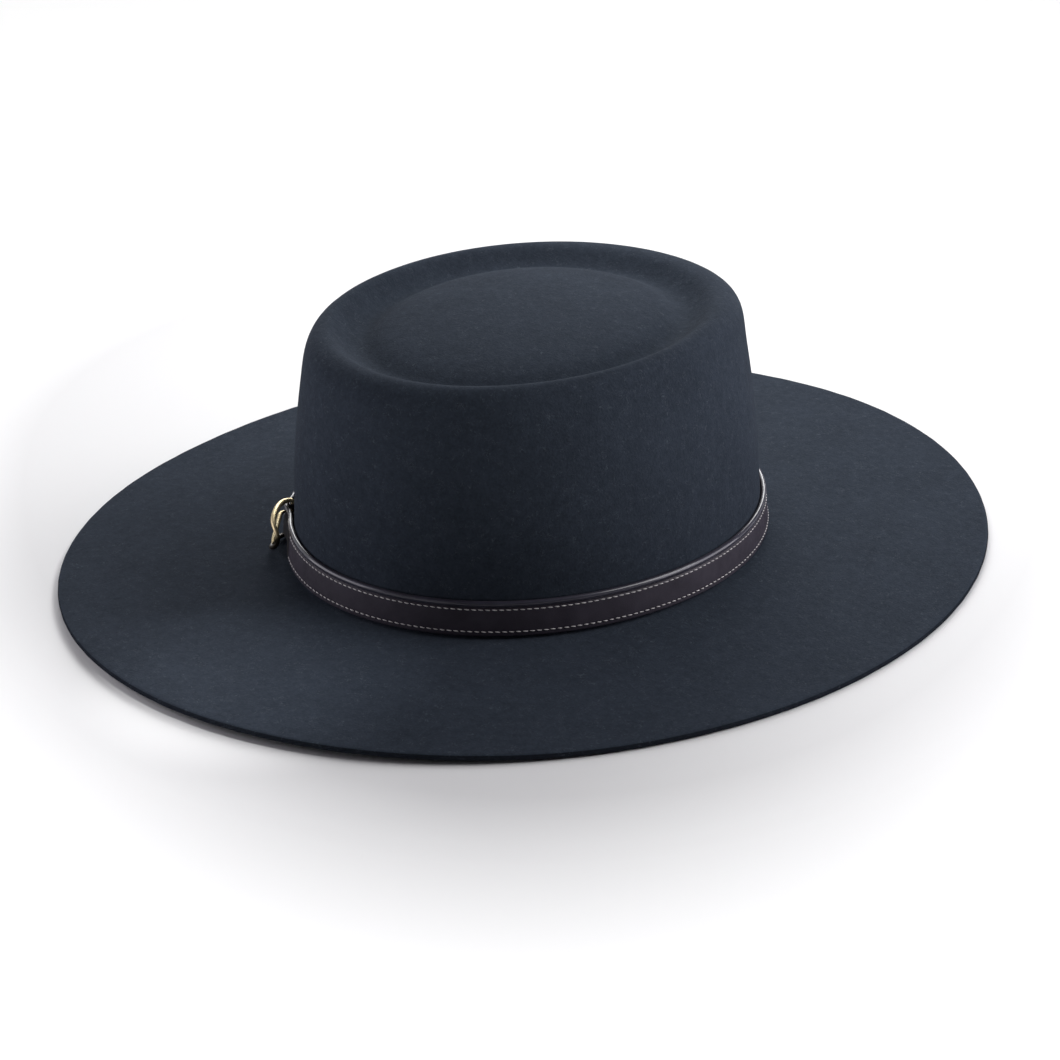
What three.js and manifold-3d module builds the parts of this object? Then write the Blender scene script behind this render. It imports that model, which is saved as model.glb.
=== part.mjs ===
// A wide-brim felt hat with a grooved, gently domed crown top and a buckled leather band.
// Millimetres, +Z up. The brim rests on z = 0, +Y runs along the long axis towards the front,
// and the buckle sits at the wearer's left, towards the back.
import * as THREE from "three";
import { mergeVertices } from "three/addons/utils/BufferGeometryUtils.js";
import Module from "manifold-3d";

const wasm = await Module();
wasm.setup();

// Facets round every oval, and the felt's thickness
const FACETS = 64;
const FELT = 2.8;

// Steps for walking round the crown's foot, and the angle for its slope
const WALK_STEPS = 200;
const SMALL_ANGLE = 0.01;

// The crown's foot and the band round it. The band leans out by its flare from top to bottom.
const CROWN_FOOT = { halfLength: 105.84, halfWidth: 92.03, power: 2.016 };
const BAND_TOP = 22.4;
const BAND_HALF = 7.25;
const BAND_FLARE = 1.5;
const BAND_THICK = 1.8;
const BAND_CHAMFER = 0.45;
const GAP = 0.3;

// The buckle: its place round the crown, its heel bar behind that place, and the frame's form
const BUCKLE_ANGLE = THREE.MathUtils.degToRad(-138);
const HEEL_BACK = 9;
const FRAME_LENGTH = 24.2;
const FRAME_BULGE = 7.4;
const BULGE_POWER = 2.4;
const FRAME_POWER = 2.6;
const NOSE_DROP = 3.5;
const DROP_START = 0.3;
const ARM_RADIUS = 0.95;
const NOSE_RADIUS = 1;
const HEEL_RADIUS = 0.65;
const HEEL_GAP = 0.2;
const ARM_GAP = 0.4;
const WIRE_SIDES = 10;
const ARM_STEPS = 28;
const HEEL_STEPS = 4;
const HEEL_REACH = 0.88;

// The band's half width beside the buckle, its small rise there and where the rise fades,
// in radians on either side, and the thickness of the leather folded round the heel bar
const BUCKLE_HALF = 6.6;
const BUCKLE_RISE = 0.5;
const RISE_FADE = { near: [0.15, 0.6], far: [0.65, 1.1] };
const SKIVED = 0.7;
const FOLD_STEPS = 6;
const FRAME_HALF = BUCKLE_HALF + ARM_GAP + ARM_RADIUS;
const HEEL_OUT = GAP + SKIVED + HEEL_GAP + HEEL_RADIUS;

// The felt's outer face from the middle of the top to the raw edge, as control rows of a smooth
// curve. side and end are the heights over the X and Y axes, tilt lowers the front and raises the
// back, and rings is the number of facet rows up to the next control row.
const FELT_ROWS = [
  { halfLength: 0, halfWidth: 0, shift: -3.2, power: 2, side: 110, end: 110, tilt: 0, rings: 1 },
  { halfLength: 24, halfWidth: 19.5, shift: -3.2, power: 2, side: 109.5, end: 109.3, tilt: -0.4, rings: 1 },
  { halfLength: 46, halfWidth: 38, shift: -3.2, power: 2, side: 107.9, end: 107.2, tilt: -0.8, rings: 1 },
  { halfLength: 58.5, halfWidth: 48.3, shift: -3.2, power: 2, side: 106.1, end: 105.1, tilt: -1.1, rings: 2 },
  { halfLength: 65.5, halfWidth: 54.2, shift: -3.2, power: 2, side: 104.4, end: 103.1, tilt: -1.3, rings: 2 },
  { halfLength: 70.5, halfWidth: 58.3, shift: -3.2, power: 2, side: 101.2, end: 100.2, tilt: -0.9, rings: 2 },
  { halfLength: 76.5, halfWidth: 63, shift: -3.2, power: 2, side: 100.2, end: 99.4, tilt: -0.2, rings: 2 },
  { halfLength: 83.5, halfWidth: 68.3, shift: -3.2, power: 2.02, side: 104.4, end: 103.6, tilt: 0.6, rings: 2 },
  { halfLength: 89, halfWidth: 72.2, shift: -3.2, power: 2.03, side: 109.2, end: 108, tilt: 1.6, rings: 3 },
  { halfLength: 98, halfWidth: 76.4, shift: -2, power: 2.04, side: 107.3, end: 106.5, tilt: 1.4, rings: 2 },
  { halfLength: 104.3, halfWidth: 79.2, shift: -0.7, power: 2.05, side: 101, end: 98.8, tilt: 1.2, rings: 2 },
  { halfLength: 104.8, halfWidth: 80.8, shift: -1.1, power: 2.045, side: 92, end: 87, tilt: 1.3, rings: 1 },
  { halfLength: 105.6, halfWidth: 84.9, shift: -0.8, power: 2.04, side: 74, end: 72, tilt: 0.8, rings: 1 },
  { halfLength: 106.3, halfWidth: 89.6, shift: -0.4, power: 2.03, side: 48, end: 48, tilt: 0.3, rings: 1 },
  { halfLength: 105.4, halfWidth: 91.5, shift: 0, power: 2.016, side: 27, end: 27, tilt: 0, rings: 1 },
  { halfLength: 105.9, halfWidth: 92.1, shift: 0, power: 2.016, side: 19, end: 19, tilt: 0, rings: 1 },
  { halfLength: 106.6, halfWidth: 92.8, shift: 0, power: 2.016, side: 12.6, end: 12.6, tilt: 0, rings: 1 },
  { halfLength: 106.9, halfWidth: 93.1, shift: 0, power: 2.016, side: 9.1, end: 9.1, tilt: 0, rings: 1 },
  { halfLength: 107.2, halfWidth: 93.4, shift: 0, power: 2.016, side: 6.4, end: 6.4, tilt: 0, rings: 2 },
  { halfLength: 110, halfWidth: 96.2, shift: 0, power: 2.016, side: 6.6, end: 6.7, tilt: 0, rings: 1 },
  { halfLength: 116, halfWidth: 102.2, shift: 0, power: 2.015, side: 6.35, end: 6.65, tilt: 0, rings: 1 },
  { halfLength: 140, halfWidth: 123, shift: 0, power: 2.012, side: 5.3, end: 6.35, tilt: 0, rings: 1 },
  { halfLength: 175, halfWidth: 153, shift: 0, power: 2.01, side: 3.6, end: 6.2, tilt: -0.2, rings: 1 },
  { halfLength: 198, halfWidth: 172.5, shift: 0, power: 2.01, side: 2.6, end: 5.9, tilt: -0.2, rings: 1 },
  { halfLength: 207.2, halfWidth: 180.8, shift: 0, power: 2.01, side: 2.4, end: 5.75, tilt: -0.25, rings: 1 },
  { halfLength: 209.8, halfWidth: 183.4, shift: 0, power: 2.01, side: 2.4, end: 5.7, tilt: -0.25, rings: 1 },
  { halfLength: 210.7, halfWidth: 184.3, shift: 0, power: 2.01, side: 1.9, end: 5.2, tilt: -0.25, rings: 1 },
  { halfLength: 210.7, halfWidth: 184.3, shift: 0, power: 2.01, side: 0.1, end: 3.4, tilt: -0.25, rings: 1 },
  { halfLength: 209.8, halfWidth: 183.4, shift: 0, power: 2.01, side: -0.4, end: 2.9, tilt: -0.25, rings: 1 },
  { halfLength: 207, halfWidth: 180.6, shift: 0, power: 2.01, side: -0.4, end: 2.9, tilt: -0.25, rings: 0 },
];
// The control row where the brim starts, and the last one that the inner face follows: beyond it
// lies the rounded raw edge
const BRIM_ROW = 20;
const INNER_ROW = 24;

// The band near the buckle. along is measured from the heel bar towards the nose, out is the
// leather's middle line from the crown, thick its thickness and half its half width.
// The stitched-down end runs to the heel bar, turns round it and becomes the band's first lap.
const FOLDED_END = [
  { along: -9.5, out: 1.55, thick: SKIVED, half: BUCKLE_HALF },
  { along: -6.5, out: 1.55, thick: SKIVED, half: BUCKLE_HALF },
  { along: -4, out: 1.95, thick: SKIVED, half: BUCKLE_HALF },
  { along: -2, out: 2.75, thick: SKIVED, half: BUCKLE_HALF },
];
const FIRST_LAP = [
  { along: -4, out: 0.65, thick: SKIVED, half: BUCKLE_HALF },
  { along: -10, out: 0.65, thick: SKIVED, half: BUCKLE_HALF },
  { along: -12.5, out: 1.2, thick: BAND_THICK, half: BUCKLE_HALF },
  { along: -24, out: 1.2, thick: BAND_THICK, half: BUCKLE_HALF },
  { along: -26, out: 1.65, thick: 0.9, half: BUCKLE_HALF },
  { along: -36, out: 1.65, thick: 0.9, half: BUCKLE_HALF },
  { along: -38, out: 1.2, thick: BAND_THICK, half: BUCKLE_HALF },
  { along: -47, out: 1.2, thick: BAND_THICK, half: BUCKLE_HALF },
  { along: -56, out: 1.2, thick: BAND_THICK, half: BUCKLE_HALF },
];
// The tip passes under the frame's nose, over the heel bar and through the keeper
const TIP_LAP = [
  { along: 30, out: 1.2, thick: BAND_THICK, half: BAND_HALF },
  { along: 23, out: 1.2, thick: BAND_THICK, half: 7.1 },
  { along: 16, out: 1.2, thick: BAND_THICK, half: 6.8 },
  { along: 13, out: 1.25, thick: 1.6, half: BUCKLE_HALF },
  { along: 10, out: 1.5, thick: 1.4, half: BUCKLE_HALF },
  { along: 7, out: 2.2, thick: 1.3, half: BUCKLE_HALF },
  { along: 4, out: 3.2, thick: 1.3, half: BUCKLE_HALF },
  { along: 1.8, out: 4.05, thick: 1.3, half: BUCKLE_HALF },
  { along: 0, out: 4.35, thick: 1.3, half: BUCKLE_HALF },
  { along: -2, out: 4.2, thick: 1.3, half: BUCKLE_HALF },
  { along: -4.5, out: 3.65, thick: 1.3, half: BUCKLE_HALF },
  { along: -8, out: 3.25, thick: 1.5, half: BUCKLE_HALF },
  { along: -13, out: 3.3, thick: BAND_THICK, half: BUCKLE_HALF },
  { along: -22, out: 3.3, thick: BAND_THICK, half: BUCKLE_HALF },
  { along: -31, out: 3.3, thick: BAND_THICK, half: BUCKLE_HALF },
  { along: -40, out: 3.3, thick: BAND_THICK, half: BUCKLE_HALF },
  { along: -48, out: 3.3, thick: BAND_THICK, half: 6.3 },
  { along: -52, out: 3.3, thick: BAND_THICK, half: 5.3 },
  { along: -55, out: 3.3, thick: BAND_THICK, half: 3.6 },
  { along: -56.5, out: 3.3, thick: BAND_THICK, half: 1.8 },
];

// The slot in the fold and the hole in the tip's lap that the prong passes through, in the
// buckle's own axes: u from the heel bar towards the nose, w outwards, z up
const SLOT = { u: [-2.3, 2.4], w: [-1.2, 1.75], z: [2.4, 4.4] };
const HOLE = { u: [-0.3, 3.2], w: [1.2, 4.6], z: [2.1, 4.4] };

// The keeper's middle, its half width along the band, its leather behind and in front of the
// laps, and its cut corners
const KEEPER = { along: -31, half: 4, back: 0.6, front: 1.1, corner: 0.6 };

// The prong, from its hook round the heel bar to its end on the frame's nose
const PRONG = [
  { u: -1.17, w: -0.46, z: 3.5, radius: 0.4 },
  { u: -1.26, w: 0.1, z: 3.5, radius: 0.4 },
  { u: -0.95, w: 0.85, z: 3.5, radius: 0.4 },
  { u: -0.1, w: 1.3, z: 3.45, radius: 0.4 },
  { u: 1, w: 1.9, z: 3.35, radius: 0.45 },
  { u: 1.8, w: 3, z: 3.25, radius: 0.55 },
  { u: 3.2, w: 4.2, z: 3, radius: 0.78 },
  { u: 8, w: 4.75, z: 2.3, radius: 0.85 },
  { u: 16, w: 5.3, z: 0.95, radius: 0.85 },
  { u: 24.2, w: 5.8, z: -0.5, radius: 0.7 },
  { u: 25.9, w: 5.85, z: -0.8, radius: 0.5 },
];

const felt = new THREE.MeshStandardMaterial({ color: 0x1f242c, roughness: 0.95, metalness: 0 });
const leather = new THREE.MeshStandardMaterial({ color: 0x2a2021, roughness: 0.5, metalness: 0 });
const keeperLeather = new THREE.MeshStandardMaterial({ color: 0x2c2222, roughness: 0.5, metalness: 0 });
const brass = new THREE.MeshStandardMaterial({ color: 0xa58a55, roughness: 0.35, metalness: 1 });
const prongBrass = new THREE.MeshStandardMaterial({ color: 0xb0955e, roughness: 0.32, metalness: 1 });

// A point of an oval whose long axis lies along Y; power 2 is an ellipse, more is squarer
function ovalPoint(oval, angle) {
  const c = Math.cos(angle);
  const s = Math.sin(angle);
  const x = oval.halfWidth * Math.sign(c) * Math.abs(c) ** (2 / oval.power);
  const y = oval.halfLength * Math.sign(s) * Math.abs(s) ** (2 / oval.power);
  return new THREE.Vector3(x, y + (oval.shift ?? 0), 0);
}

function controlPoint(row, angle) {
  const point = ovalPoint(row, angle);
  const c = Math.cos(angle);
  const s = Math.sin(angle);
  point.z = row.side * c * c + row.end * s * s - row.tilt * s;
  return point;
}

// Uniform cubic B-spline weights of the four control points round a span
function splinePoint(points, t) {
  const weights = [(1 - t) ** 3, 3 * t ** 3 - 6 * t ** 2 + 4, -3 * t ** 3 + 3 * t ** 2 + 3 * t + 1, t ** 3];
  const sum = new THREE.Vector3();
  points.forEach((point, i) => sum.addScaledVector(point, weights[i] / 6));
  return sum;
}

// The felt's outer face at one angle: a point for each facet row, and the control row it follows
function feltMeridian(angle) {
  const controls = FELT_ROWS.map((row) => controlPoint(row, angle));
  const opposite = controlPoint(FELT_ROWS[1], angle + Math.PI);
  const padded = [opposite, ...controls, controls.at(-1)];
  const meridian = [];
  FELT_ROWS.forEach((row, i) => {
    for (let k = 0; k < row.rings; k++) {
      const t = k / row.rings;
      meridian.push({ point: splinePoint(padded.slice(i, i + 4), t), row: i + t });
    }
  });
  return meridian;
}

// Rings of points joined into one closed skin. The ends are closed by a fan to a middle point,
// or joined to each other when the rings go round in a loop.
function skin(rings, loop = false) {
  const count = rings[0].length;
  const positions = [];
  const faces = [];
  rings.forEach((ring) => ring.forEach((p) => positions.push(p.x, p.y, p.z)));
  const last = loop ? rings.length : rings.length - 1;
  for (let i = 0; i < last; i++) {
    const next = (i + 1) % rings.length;
    for (let j = 0; j < count; j++) {
      const k = (j + 1) % count;
      const a = i * count + j;
      const b = i * count + k;
      const c = next * count + k;
      const d = next * count + j;
      faces.push(a, b, c, a, c, d);
    }
  }
  if (!loop) {
    [rings[0], rings.at(-1)].forEach((ring, end) => {
      const middle = new THREE.Vector3();
      ring.forEach((p) => middle.addScaledVector(p, 1 / count));
      const hub = positions.length / 3;
      positions.push(middle.x, middle.y, middle.z);
      const start = end * (rings.length - 1) * count;
      for (let j = 0; j < count; j++) {
        const a = start + j;
        const b = start + ((j + 1) % count);
        faces.push(...(end ? [a, b, hub] : [b, a, hub]));
      }
    });
  }
  return outward(positions, faces);
}

// A geometry whose faces all point out
function outward(positions, faces) {
  const corner = (i) => new THREE.Vector3().fromArray(positions, 3 * faces[i]);
  let volume = 0;
  for (let i = 0; i < faces.length; i += 3) {
    volume += corner(i).dot(corner(i + 1).cross(corner(i + 2)));
  }
  const geometry = new THREE.BufferGeometry();
  geometry.setAttribute("position", new THREE.Float32BufferAttribute(positions, 3));
  if (volume < 0) {
    faces.reverse();
  }
  geometry.setIndex(faces);
  geometry.computeVertexNormals();
  return geometry;
}

// Crown and brim: the outer face out to the raw edge, then the inner face a felt's thickness
// behind it, pressed flat where the brim rests
function feltBody() {
  const angles = Array.from({ length: FACETS }, (_, j) => (2 * Math.PI * j) / FACETS);
  const meridians = angles.map(feltMeridian);
  const outer = meridians[0].map((_, i) => meridians.map((meridian) => meridian[i].point));
  const inner = [];
  const rowAt = (i) => meridians[0][i].row;
  for (let i = 2; rowAt(i) <= INNER_ROW; i += rowAt(i) < BRIM_ROW ? 2 : 1) {
    inner.push(
      outer[i].map((point, j) => {
        const along = new THREE.Vector3().subVectors(outer[i + 1][j], outer[i - 1][j]);
        const round = new THREE.Vector3().subVectors(outer[i][(j + 1) % FACETS], outer[i].at(j - 1));
        const normal = along.cross(round).normalize();
        return new THREE.Vector3().copy(point).addScaledVector(normal, -FELT);
      }),
    );
  }
  const centre = outer[0][0];
  const rings = [...outer.slice(1), ...inner.reverse()];
  rings.forEach((ring) => ring.forEach((p) => (p.z = Math.max(p.z, 0))));
  const positions = [];
  const faces = [];
  rings.forEach((ring) => ring.forEach((p) => positions.push(p.x, p.y, p.z)));
  for (let i = 0; i < rings.length - 1; i++) {
    for (let j = 0; j < FACETS; j++) {
      const k = (j + 1) % FACETS;
      const a = i * FACETS + j;
      const b = i * FACETS + k;
      faces.push(a, b, b + FACETS, a, b + FACETS, a + FACETS);
    }
  }
  const top = positions.length / 3;
  positions.push(centre.x, centre.y, centre.z, centre.x, centre.y, centre.z - FELT);
  const start = (rings.length - 1) * FACETS;
  for (let j = 0; j < FACETS; j++) {
    const k = (j + 1) % FACETS;
    faces.push(k, j, top, start + j, start + k, top + 1);
  }
  return outward(positions, faces);
}

// The direction and speed along the crown's foot at an angle
function footSlope(angle) {
  const ahead = ovalPoint(CROWN_FOOT, angle + SMALL_ANGLE);
  const behind = ovalPoint(CROWN_FOOT, angle - SMALL_ANGLE);
  return ahead.sub(behind).divideScalar(2 * SMALL_ANGLE);
}

// The angle round the crown's foot at a distance from the heel bar towards the nose
function angleAt(along) {
  let angle = BUCKLE_ANGLE;
  for (let i = 0; i < WALK_STEPS; i++) {
    angle += (along - HEEL_BACK) / WALK_STEPS / footSlope(angle).length();
  }
  return angle;
}

function outwardAt(angle) {
  const slope = footSlope(angle);
  return new THREE.Vector3(slope.y, -slope.x, 0).normalize();
}

// How far the crown's foot and the band lean out at a height
function flareAt(z) {
  return (BAND_FLARE * (BAND_TOP - z)) / (2 * BAND_HALF);
}

// A point beside the crown's foot, out mm from the felt at a height
function besideCrown(angle, out, z) {
  return ovalPoint(CROWN_FOOT, angle).addScaledVector(outwardAt(angle), out + flareAt(z)).setZ(z);
}

// The band's middle height, which rises a little towards the buckle and the keeper
function bandHeight(angle) {
  const smooth = THREE.MathUtils.smoothstep;
  const turn = THREE.MathUtils.euclideanModulo(angle - BUCKLE_ANGLE + Math.PI, 2 * Math.PI) - Math.PI;
  const faded = Math.max(smooth(turn, ...RISE_FADE.near), smooth(-turn, ...RISE_FADE.far));
  return BAND_TOP - BAND_HALF + BUCKLE_RISE * (1 - faded);
}

// The band as a run of stations from the folded end, once round the crown, to the tip
function bandStations() {
  const at = (row) => ({ ...row, angle: angleAt(row.along) });
  const stations = FOLDED_END.map(at);
  const turn = HEEL_RADIUS + HEEL_GAP + SKIVED / 2;
  for (let i = 0; i <= FOLD_STEPS; i++) {
    const swing = Math.PI / 2 - (Math.PI * i) / FOLD_STEPS;
    const out = HEEL_OUT + turn * Math.sin(swing);
    stations.push(at({ along: turn * Math.cos(swing), out, thick: SKIVED, half: BUCKLE_HALF }));
  }
  stations.push(...FIRST_LAP.map(at));
  const facet = (2 * Math.PI) / FACETS;
  const from = Math.floor(angleAt(FIRST_LAP.at(-1).along) / facet - 0.5);
  const to = Math.ceil((angleAt(TIP_LAP[0].along) - 2 * Math.PI) / facet + 0.5);
  for (let i = from; i >= to; i--) {
    stations.push({ angle: i * facet, out: GAP + BAND_THICK / 2, thick: BAND_THICK, half: BAND_HALF });
  }
  stations.push(...TIP_LAP.map(at));
  return stations;
}

function bandStrap() {
  const stations = bandStations();
  const level = BAND_TOP - BAND_HALF;
  const path = stations.map((s) => besideCrown(s.angle, s.out, level));
  const rings = stations.map((s, i) => {
    const before = path[Math.max(i - 1, 0)];
    const after = path[Math.min(i + 1, path.length - 1)];
    const run = new THREE.Vector3().subVectors(after, before).normalize();
    const across = new THREE.Vector3(-run.y, run.x, 0);
    const lean = outwardAt(s.angle);
    const cut = Math.min(BAND_CHAMFER, s.thick / 3);
    const edge = s.thick / 2;
    const outline = [
      [edge - cut, s.half],
      [edge, s.half - cut],
      [edge, cut - s.half],
      [edge - cut, -s.half],
      [cut - edge, -s.half],
      [-edge, cut - s.half],
      [-edge, s.half - cut],
      [cut - edge, s.half],
    ];
    return outline.map(([x, half]) => {
      const z = bandHeight(s.angle) + half;
      const shift = flareAt(z) - flareAt(level);
      return path[i].clone().addScaledVector(across, x).addScaledVector(lean, shift).setZ(z);
    });
  });
  const strap = toManifold(skin(rings));
  const slotted = strap.subtract(toManifold(buckleBox(SLOT)));
  return toGeometry(slotted.subtract(toManifold(buckleBox(HOLE))));
}

// The buckle's own axes, from the middle of the heel bar: u towards the nose, w outwards, and up
// along the leaning band
function buckleAxes() {
  const level = bandHeight(BUCKLE_ANGLE);
  const origin = besideCrown(angleAt(0), HEEL_OUT, level);
  const lean = Math.atan(BAND_FLARE / (2 * BAND_HALF));
  const flat = outwardAt(BUCKLE_ANGLE);
  const u = new THREE.Vector3(-flat.y, flat.x, 0);
  const up = new THREE.Vector3(0, 0, Math.cos(lean)).addScaledVector(flat, -Math.sin(lean));
  return { origin, u, w: new THREE.Vector3().crossVectors(u, up), up };
}

const AXES = buckleAxes();

function bucklePoint(u, w, z) {
  const point = AXES.origin.clone().addScaledVector(AXES.u, u);
  return point.addScaledVector(AXES.w, w).addScaledVector(AXES.up, z);
}

// A box in the buckle's axes, for cutting
function buckleBox({ u, w, z }) {
  const box = new THREE.BoxGeometry(u[1] - u[0], w[1] - w[0], z[1] - z[0]);
  const place = new THREE.Matrix4().makeBasis(AXES.u, AXES.w.clone().negate(), AXES.up);
  place.setPosition(bucklePoint((u[0] + u[1]) / 2, (w[0] + w[1]) / 2, (z[0] + z[1]) / 2));
  box.deleteAttribute("normal");
  box.deleteAttribute("uv");
  return mergeVertices(box.applyMatrix4(place));
}

function toManifold(geometry) {
  const vertProperties = Float32Array.from(geometry.getAttribute("position").array);
  const triVerts = Uint32Array.from(geometry.index.array);
  return new wasm.Manifold(new wasm.Mesh({ numProp: 3, vertProperties, triVerts }));
}

function toGeometry(solid) {
  const mesh = solid.getMesh();
  const geometry = new THREE.BufferGeometry();
  geometry.setAttribute("position", new THREE.BufferAttribute(mesh.vertProperties, 3));
  geometry.setIndex([...mesh.triVerts]);
  geometry.computeVertexNormals();
  return geometry;
}

// A round wire through stations of a point, a radius and a guide direction across the wire
function wire(stations, loop = false) {
  const last = stations.length - 1;
  const before = (i) => stations[i > 0 ? i - 1 : loop ? last : 0].point;
  const after = (i) => stations[i < last ? i + 1 : loop ? 0 : last].point;
  const rings = stations.map((station, i) => {
    const run = new THREE.Vector3().subVectors(after(i), before(i)).normalize();
    const side = new THREE.Vector3().crossVectors(run, station.guide).normalize();
    const over = new THREE.Vector3().crossVectors(side, run);
    return Array.from({ length: WIRE_SIDES }, (_, j) => {
      const angle = (2 * Math.PI * j) / WIRE_SIDES;
      const point = station.point.clone().addScaledVector(side, station.radius * Math.cos(angle));
      return point.addScaledVector(over, station.radius * Math.sin(angle));
    });
  });
  return skin(rings, loop);
}

// The height of a rounded arch's first quarter, part of the way along it
function rounded(part, power) {
  return (1 - (1 - part) ** power) ** (1 / power);
}

// The frame: a horseshoe that arches out from the heel bar and drops towards its nose
function buckleFrame() {
  const stations = [];
  for (let i = 0; i <= ARM_STEPS; i++) {
    const angle = Math.PI / 2 - (Math.PI * i) / ARM_STEPS;
    const reach = Math.abs(Math.cos(angle)) ** (2 / FRAME_POWER);
    const across = Math.sign(Math.sin(angle)) * Math.abs(Math.sin(angle)) ** (2 / FRAME_POWER);
    const late = Math.max(0, (reach - DROP_START) / (1 - DROP_START));
    const w = FRAME_BULGE * rounded(reach, BULGE_POWER) - NOSE_DROP * late ** 3;
    const radius = THREE.MathUtils.lerp(ARM_RADIUS, NOSE_RADIUS, reach);
    stations.push({ point: bucklePoint(FRAME_LENGTH * reach, w, FRAME_HALF * across), radius });
  }
  for (let i = 0; i <= HEEL_STEPS; i++) {
    const z = HEEL_REACH * FRAME_HALF * ((2 * i) / HEEL_STEPS - 1);
    stations.push({ point: bucklePoint(0, 0, z), radius: HEEL_RADIUS });
  }
  const middle = bucklePoint(FRAME_LENGTH / 2, -FRAME_LENGTH, 0);
  for (const station of stations) {
    station.guide = new THREE.Vector3().subVectors(station.point, middle).normalize();
  }
  return wire(stations, true);
}

function buckleProng() {
  const point = (row) => bucklePoint(row.u, row.w, row.z);
  return wire(PRONG.map((row) => ({ point: point(row), radius: row.radius, guide: AXES.up })));
}

// The keeper: a flat leather ring round both laps of the band, thinner behind them
function keeperLoop() {
  const height = bandHeight(angleAt(KEEPER.along));
  const inner = BUCKLE_HALF + GAP;
  const outer = inner + KEEPER.front;
  const over = 2 * (GAP + BAND_THICK) + GAP;
  const front = over + KEEPER.front;
  const { back, corner } = KEEPER;
  const path = [
    { out: GAP + back, z: inner, skinOut: GAP, skinZ: outer - corner },
    { out: over, z: inner, skinOut: front - corner, skinZ: outer },
    { out: over, z: inner - corner, skinOut: front, skinZ: outer - corner },
    { out: over, z: corner - inner, skinOut: front, skinZ: corner - outer },
    { out: over, z: -inner, skinOut: front - corner, skinZ: -outer },
    { out: GAP + back, z: -inner, skinOut: GAP, skinZ: corner - outer },
  ];
  const place = (along, out, z) => besideCrown(angleAt(KEEPER.along + along), out, height + z);
  const rings = path.map((row) => [
    place(-KEEPER.half, row.out, row.z),
    place(KEEPER.half, row.out, row.z),
    place(KEEPER.half, row.skinOut, row.skinZ),
    place(-KEEPER.half, row.skinOut, row.skinZ),
  ]);
  return skin(rings, true);
}

const group = new THREE.Group();
const pieces = [
  { name: "felt_body", geometry: feltBody(), material: felt },
  { name: "band_strap", geometry: bandStrap(), material: leather },
  { name: "keeper_loop", geometry: keeperLoop(), material: keeperLeather },
  { name: "buckle_frame", geometry: buckleFrame(), material: brass },
  { name: "buckle_prong", geometry: buckleProng(), material: prongBrass },
];
for (const piece of pieces) {
  const mesh = new THREE.Mesh(piece.geometry, piece.material);
  mesh.name = piece.name;
  group.add(mesh);
}

export default group;
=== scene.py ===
"""A wide-brim felt hat with a stitched leather band and a small brass buckle, on a pale floor.

Metres, +Z up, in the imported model's frame. The tables below are in millimetres, apart from those
whose comments say otherwise.
"""
import math

import bpy
import numpy as np
from mathutils import Matrix, Vector


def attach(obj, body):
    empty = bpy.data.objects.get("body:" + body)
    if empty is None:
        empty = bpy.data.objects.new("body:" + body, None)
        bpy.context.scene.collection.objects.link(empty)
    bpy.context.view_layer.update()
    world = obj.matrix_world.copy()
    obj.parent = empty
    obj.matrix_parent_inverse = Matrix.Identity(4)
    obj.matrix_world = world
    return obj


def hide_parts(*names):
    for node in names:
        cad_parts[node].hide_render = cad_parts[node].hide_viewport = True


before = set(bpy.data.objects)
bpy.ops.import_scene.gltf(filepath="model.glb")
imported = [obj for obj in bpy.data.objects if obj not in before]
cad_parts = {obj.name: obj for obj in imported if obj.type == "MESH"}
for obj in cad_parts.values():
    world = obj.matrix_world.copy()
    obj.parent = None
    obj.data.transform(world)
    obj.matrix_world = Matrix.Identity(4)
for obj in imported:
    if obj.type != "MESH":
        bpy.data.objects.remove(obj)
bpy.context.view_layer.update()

MM = 0.001

# The camera, as it looks at the hat: angles in radians, distances in millimetres
CAMERA_AZIMUTH = 0.68739
CAMERA_ELEVATION = 0.41976
CAMERA_ROLL = -0.00865
CAMERA_DISTANCE = 1771.2
CAMERA_TARGET = (0, 0, 45.3)
CAMERA_SLIDE = (0.4, -34.1)
FOCAL_PIXELS = 4232.5
IMAGE_PIXELS = 1060
SENSOR_WIDTH = 36

# The felt: wall thickness, and the fine mesh's columns and its steps along a meridian
FELT = 2.8
FELT_COLUMNS = 320
FELT_STEP = 1.6
EDGE_STEP = 0.35
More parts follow.
